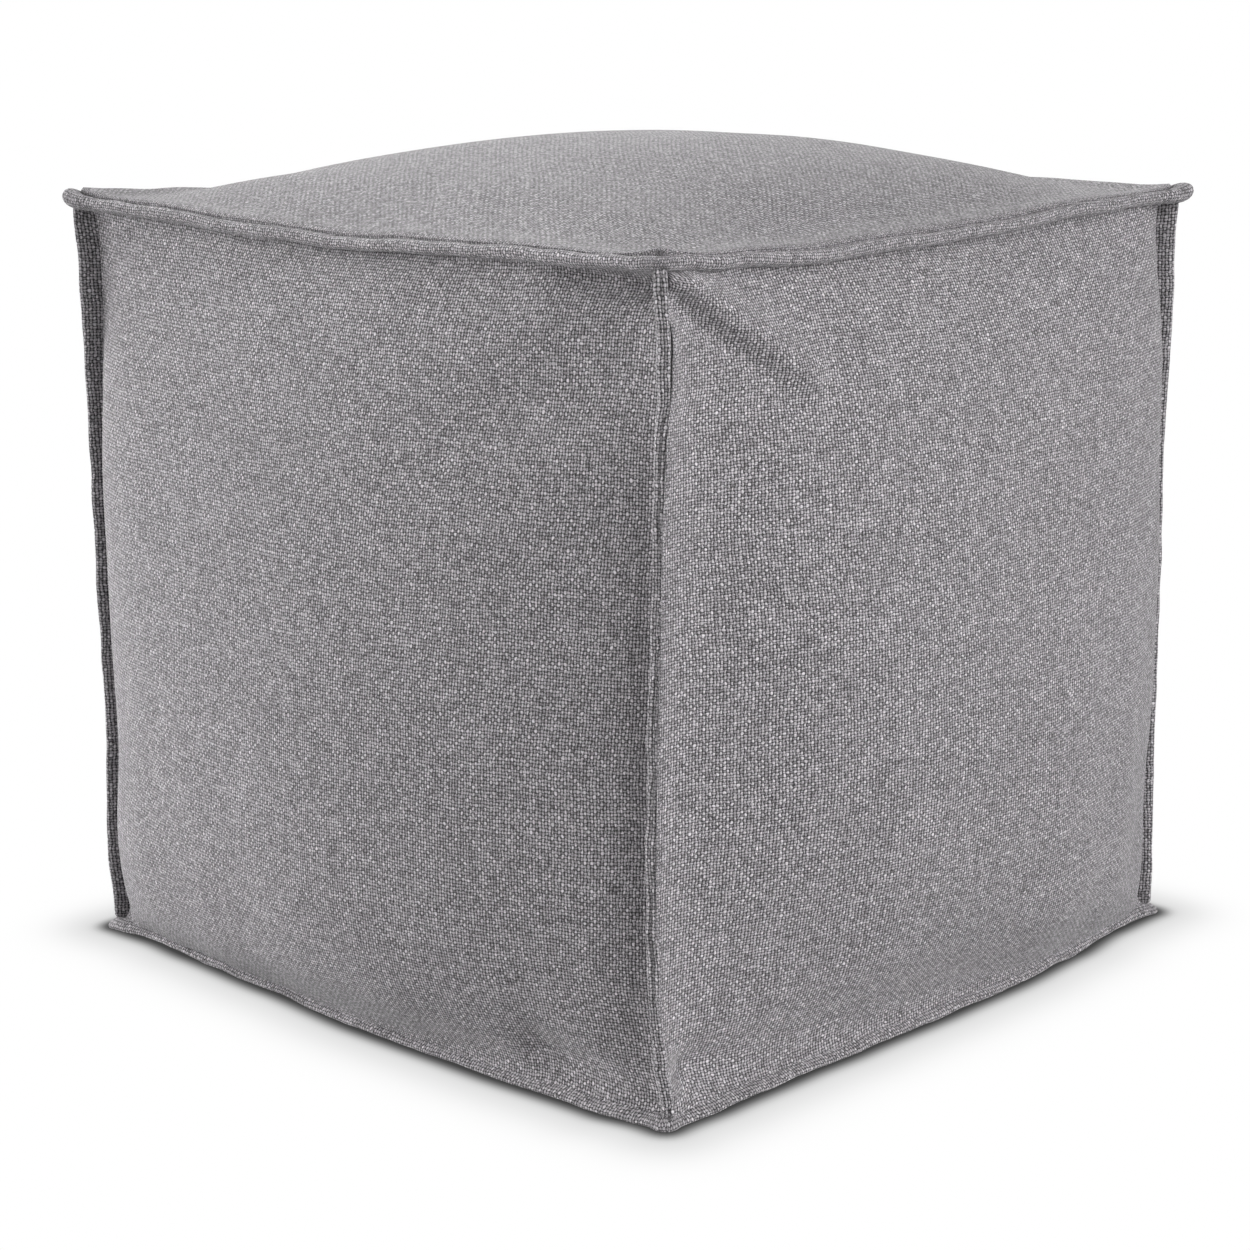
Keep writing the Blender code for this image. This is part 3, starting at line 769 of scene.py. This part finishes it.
top_flange = roll_flange(
    "top_flange",
    ring_stations(top_seam, lambda edge, share: math.radians(read_table(TOP_TILT[edge], share)),
                  FLANGE_THICK, TOP_EARS, EAR_SOFTNESS),
    ROLLED_OUTLINE, closed=True, turned_weave=False)
top_flange.data.materials.append(basket_cloth("basket_cloth_of_top_flange"))
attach(top_flange, "root")
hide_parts("top_seam_flange")

# ---------------------------------------------------------------------------------------------
# The flange of the base seam, made as the top one is. The cube's weight splays it flat, so that its
# folded edge lies on the floor all the way round.
# ---------------------------------------------------------------------------------------------

BASE_FLANGE_THICK = 0.0060
SPLAYED_OUTLINE = [(0.0, 1.0), (0.15, 1.0), (0.32, 0.98), (0.50, 0.92), (0.66, 0.82), (0.80, 0.68),
                   (0.92, 0.45), (0.99, 0.10), (0.98, -0.35), (0.90, -0.60), (0.60, -0.70),
                   (0.30, -0.60), (0.0, -0.60)]
BASE_EARS = {"near": 0.32, "right": 0.44, "rear": 0.32, "left": 0.40}
BASE_EAR_SOFTNESS = 0.022
BASE_CLEARANCE = 0.0002          # between the flange and the floor

base_stations = ring_stations(base_seam, lambda edge, share: -BASE_DROOP, BASE_FLANGE_THICK, BASE_EARS,
                              BASE_EAR_SOFTNESS)
base_flange = roll_flange("base_flange", base_stations, SPLAYED_OUTLINE, closed=True, turned_weave=False)
for vertex in base_flange.data.vertices:
    vertex.co.z = max(BASE_CLEARANCE, vertex.co.z)
base_flange.data.materials.append(basket_cloth("basket_cloth_of_base_flange"))
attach(base_flange, "root")
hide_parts("base_seam_flange")

# ---------------------------------------------------------------------------------------------
# The upright flanges, one on each corner of the cube, sewn into the two rings at its head and foot.
# Each is the seam allowance of two panels: two folded lips, laid back to back.
# ---------------------------------------------------------------------------------------------

UPRIGHT_STEPS = 96
UPRIGHT_THICK = {"near": 0.0072, "right": 0.0066, "rear": 0.0072, "left": 0.0070}
# Two folded lips, laid back to back, with their join between them
LIPPED_OUTLINE = [(0.0, 0.55), (0.12, 0.52), (0.28, 0.60), (0.46, 0.76), (0.64, 0.92), (0.80, 1.0),
                  (0.92, 0.92), (0.98, 0.70), (1.0, 0.38), (0.993, 0.12), (0.955, 0.02)]
LIPPED_OUTLINE += [(outward, -sideways) for outward, sideways in reversed(LIPPED_OUTLINE)]
HEAD_LEAN_LESS = math.radians(11.0)
HEAD_LEAN_LENGTH = 0.0400


def upright_stations(corner):
    edge = next(name for name, _, last in EDGES if last == corner)
    head_lean = math.radians(read_table(TOP_TILT[edge], 1.0)) - HEAD_LEAN_LESS
    stations = []
    for step in range(UPRIGHT_STEPS + 1):
        share = step / UPRIGHT_STEPS
        point = upright_seam(corner, share)
        outward = upright_direction(corner, share)
        sideways = Vector((0, 0, 1)).cross(outward)
        near_head = max(0.0, 1 - (TOP_SEAM_HEIGHT[corner] - point.z) / HEAD_LEAN_LENGTH)
        lean = head_lean * near_head**2
        leaning = outward * math.cos(lean) + Vector((0, 0, math.sin(lean)))
        stations.append((point, leaning, sideways, FLANGE_WIDTH, UPRIGHT_THICK[corner]))
    return stations


for corner in CORNERS:
    upright = roll_flange(f"upright_flange_{corner}", upright_stations(corner), LIPPED_OUTLINE,
                          closed=False, turned_weave=True)
    upright.data.materials.append(basket_cloth(f"basket_cloth_of_{corner}_flange"))
    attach(upright, "root")
    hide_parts(f"corner_flange_{corner}")

# ---------------------------------------------------------------------------------------------
# The studio: a pale floor, white surroundings that light the pouf, and the camera. There are no lamps:
# the room is bright on the left and on the right, and in a narrow strip behind on the left.
# ---------------------------------------------------------------------------------------------

bpy.ops.object.select_all(action="DESELECT")
bpy.ops.mesh.primitive_plane_add(size=120)
floor = bpy.context.object
floor.name = "floor"
for corner in floor.data.uv_layers.active.data:
    corner.uv = (0.0, 1.0)       # the pale end of the shade's ramp

# The soft shade of the contact, on a band of floor that follows the outline of the base flange: a dark
# core, and a wide and pale shade round it
SHADE_START = -0.010             # from the edge of the flange, just under it
SHADE_BAND = 0.080
SHADE_STEPS = 10
SHADE_STOPS = 28
SHADE_LIFT = 0.0001              # of the band above the rest of the floor
SHADE_FADES_FROM = 0.0056        # from the start of the band
CORE_SHADE = (0.66, 0.0105, 2.9)     # how dark it is, how far it reaches, the power it fades with
WIDE_SHADE = (0.29, 0.0333, 2.3)
FLOOR_BOUNCE = 0.50              # share of the light that the floor throws back at the pouf


def floor_tone(share):
    """Tone of the floor at a share of the band's width. The band ends in the white of the plain floor."""
    away = max(0.0, share * SHADE_BAND - SHADE_FADES_FROM)
    shades = [dark * math.exp(-((away / reach) ** power)) for dark, reach, power in (CORE_SHADE, WIDE_SHADE)]
    return 1.0 - sum(shades) if share < 1.0 else 1.0


bpy.ops.mesh.primitive_grid_add(x_subdivisions=len(base_stations), y_subdivisions=SHADE_STEPS, size=1)
band = bpy.context.object
for vertex in band.data.vertices:
    along = round((vertex.co.x + 0.5) * len(base_stations)) % len(base_stations)
    point, outward, _, width, _ = base_stations[along]
    away = width + SHADE_START + (vertex.co.y + 0.5) * SHADE_BAND / math.cos(BASE_DROOP)
    vertex.co = point + outward * away
    vertex.co.z = SHADE_LIFT
floor.select_set(True)
bpy.context.view_layer.objects.active = floor
bpy.ops.object.join()

floor_paint = bpy.data.materials.new("floor_paint")
floor_paint.use_nodes = True
paint = floor_paint.node_tree
painted = paint.nodes["Principled BSDF"]
painted.inputs["Roughness"].default_value = 0.9
painted.inputs["Specular IOR Level"].default_value = 0.0
in_view = node(paint, "ShaderNodeLightPath").outputs["Is Camera Ray"]
spot = node(paint, "ShaderNodeSeparateXYZ", {0: node(paint, "ShaderNodeTexCoord").outputs["UV"]})
shade = node(paint, "ShaderNodeValToRGB", {"Fac": spot.outputs["Y"]})
shares = [step / SHADE_STOPS for step in range(SHADE_STOPS + 1)]
set_stops(shade, [(share, [floor_tone(share)] * 3) for share in shares])
bounce = ranged(paint, in_view, 0.0, 1.0, FLOOR_BOUNCE, 0.0)
pale = node(paint, "ShaderNodeCombineColor", {"Red": bounce, "Green": bounce, "Blue": bounce})
paint.links.new(pale.outputs["Color"], painted.inputs["Base Color"])
paint.links.new(shade.outputs["Color"], painted.inputs["Emission Color"])
paint.links.new(in_view, painted.inputs["Emission Strength"])
floor.data.materials.append(floor_paint)

surroundings = bpy.data.worlds.new("surroundings")
bpy.context.scene.world = surroundings
surroundings.use_nodes = True
air = surroundings.node_tree
seen = node(air, "ShaderNodeLightPath").outputs["Is Camera Ray"]
direction = node(air, "ShaderNodeSeparateXYZ", {0: node(air, "ShaderNodeTexCoord").outputs["Generated"]})
azimuth = maths(air, "ARCTAN2", direction.outputs["Y"], direction.outputs["X"])

# How bright the room is round the pouf. Columns: azimuth in degrees, brightness at floor level and
# half way up, both in shares of the brightest. The two rows at 180 make a step, where the bright strip
# behind on the left ends
ROOM_LIGHT = [(-180, 0.40, 0.0), (-165, 0.78, 0.02), (-135, 1.0, 0.31), (-105, 0.0, 0.0), (-45, 0.0, 0.0),
              (-15, 0.0, 0.04), (15, 0.67, 0.52), (45, 0.02, 0.0), (75, 0.14, 0.0), (105, 0.17, 0.0),
              (135, 0.17, 0.0), (165, 0.12, 0.0), (180, 1.0, 1.0), (180, 0.40, 0.0)]
BRIGHTEST = 16.4
LEVEL_REACH = 0.5                # rise over which one level fades into the next

room = node(air, "ShaderNodeValToRGB", {"Fac": ranged(air, azimuth, -math.pi, math.pi, 0.0, 1.0)})
set_stops(room, [(heading / 360 + 0.5, (low, middle, 0.0)) for heading, low, middle in ROOM_LIGHT])
levels = node(air, "ShaderNodeSeparateColor", {0: room.outputs["Color"]})
rise = direction.outputs["Z"]
low_share = ranged(air, rise, 0.0, LEVEL_REACH, 1.0, 0.0)
from_middle = maths(air, "ABSOLUTE", maths(air, "SUBTRACT", rise, LEVEL_REACH))
middle_share = ranged(air, from_middle, 0.0, LEVEL_REACH, 1.0, 0.0)
fill = maths(air, "MULTIPLY_ADD", levels.outputs["Red"], low_share,
             maths(air, "MULTIPLY", levels.outputs["Green"], middle_share))
fill = maths(air, "MULTIPLY", fill, BRIGHTEST)
brightness = node(air, "ShaderNodeMix", {"Factor": seen, "A": fill, "B": 1.0}, data_type="FLOAT").outputs[0]
air.links.new(brightness, air.nodes["Background"].inputs["Strength"])
air.nodes["Background"].inputs["Color"].default_value = (1, 1, 1, 1)

CAMERA_PLACE = (1.1637, -1.2666, 0.6146)
CAMERA_PITCH = 0.2432            # radians down from level
CAMERA_HEADING = 0.7466          # radians left of straight along +Y
CAMERA_ROLL = -0.0065
CAMERA_LENS = 83.47              # millimetres, on a sensor 36 mm wide

bpy.ops.object.camera_add(location=CAMERA_PLACE)
camera = bpy.context.object
turned = Euler((math.pi / 2 - CAMERA_PITCH, 0, CAMERA_HEADING)).to_matrix()
camera.rotation_euler = (turned @ Matrix.Rotation(CAMERA_ROLL, 3, "Z")).to_euler()
camera.data.lens = CAMERA_LENS
camera.data.sensor_width = 36.0
camera.data.clip_end = 300.0
bpy.context.scene.camera = camera
bpy.context.scene.view_settings.view_transform = "Standard"
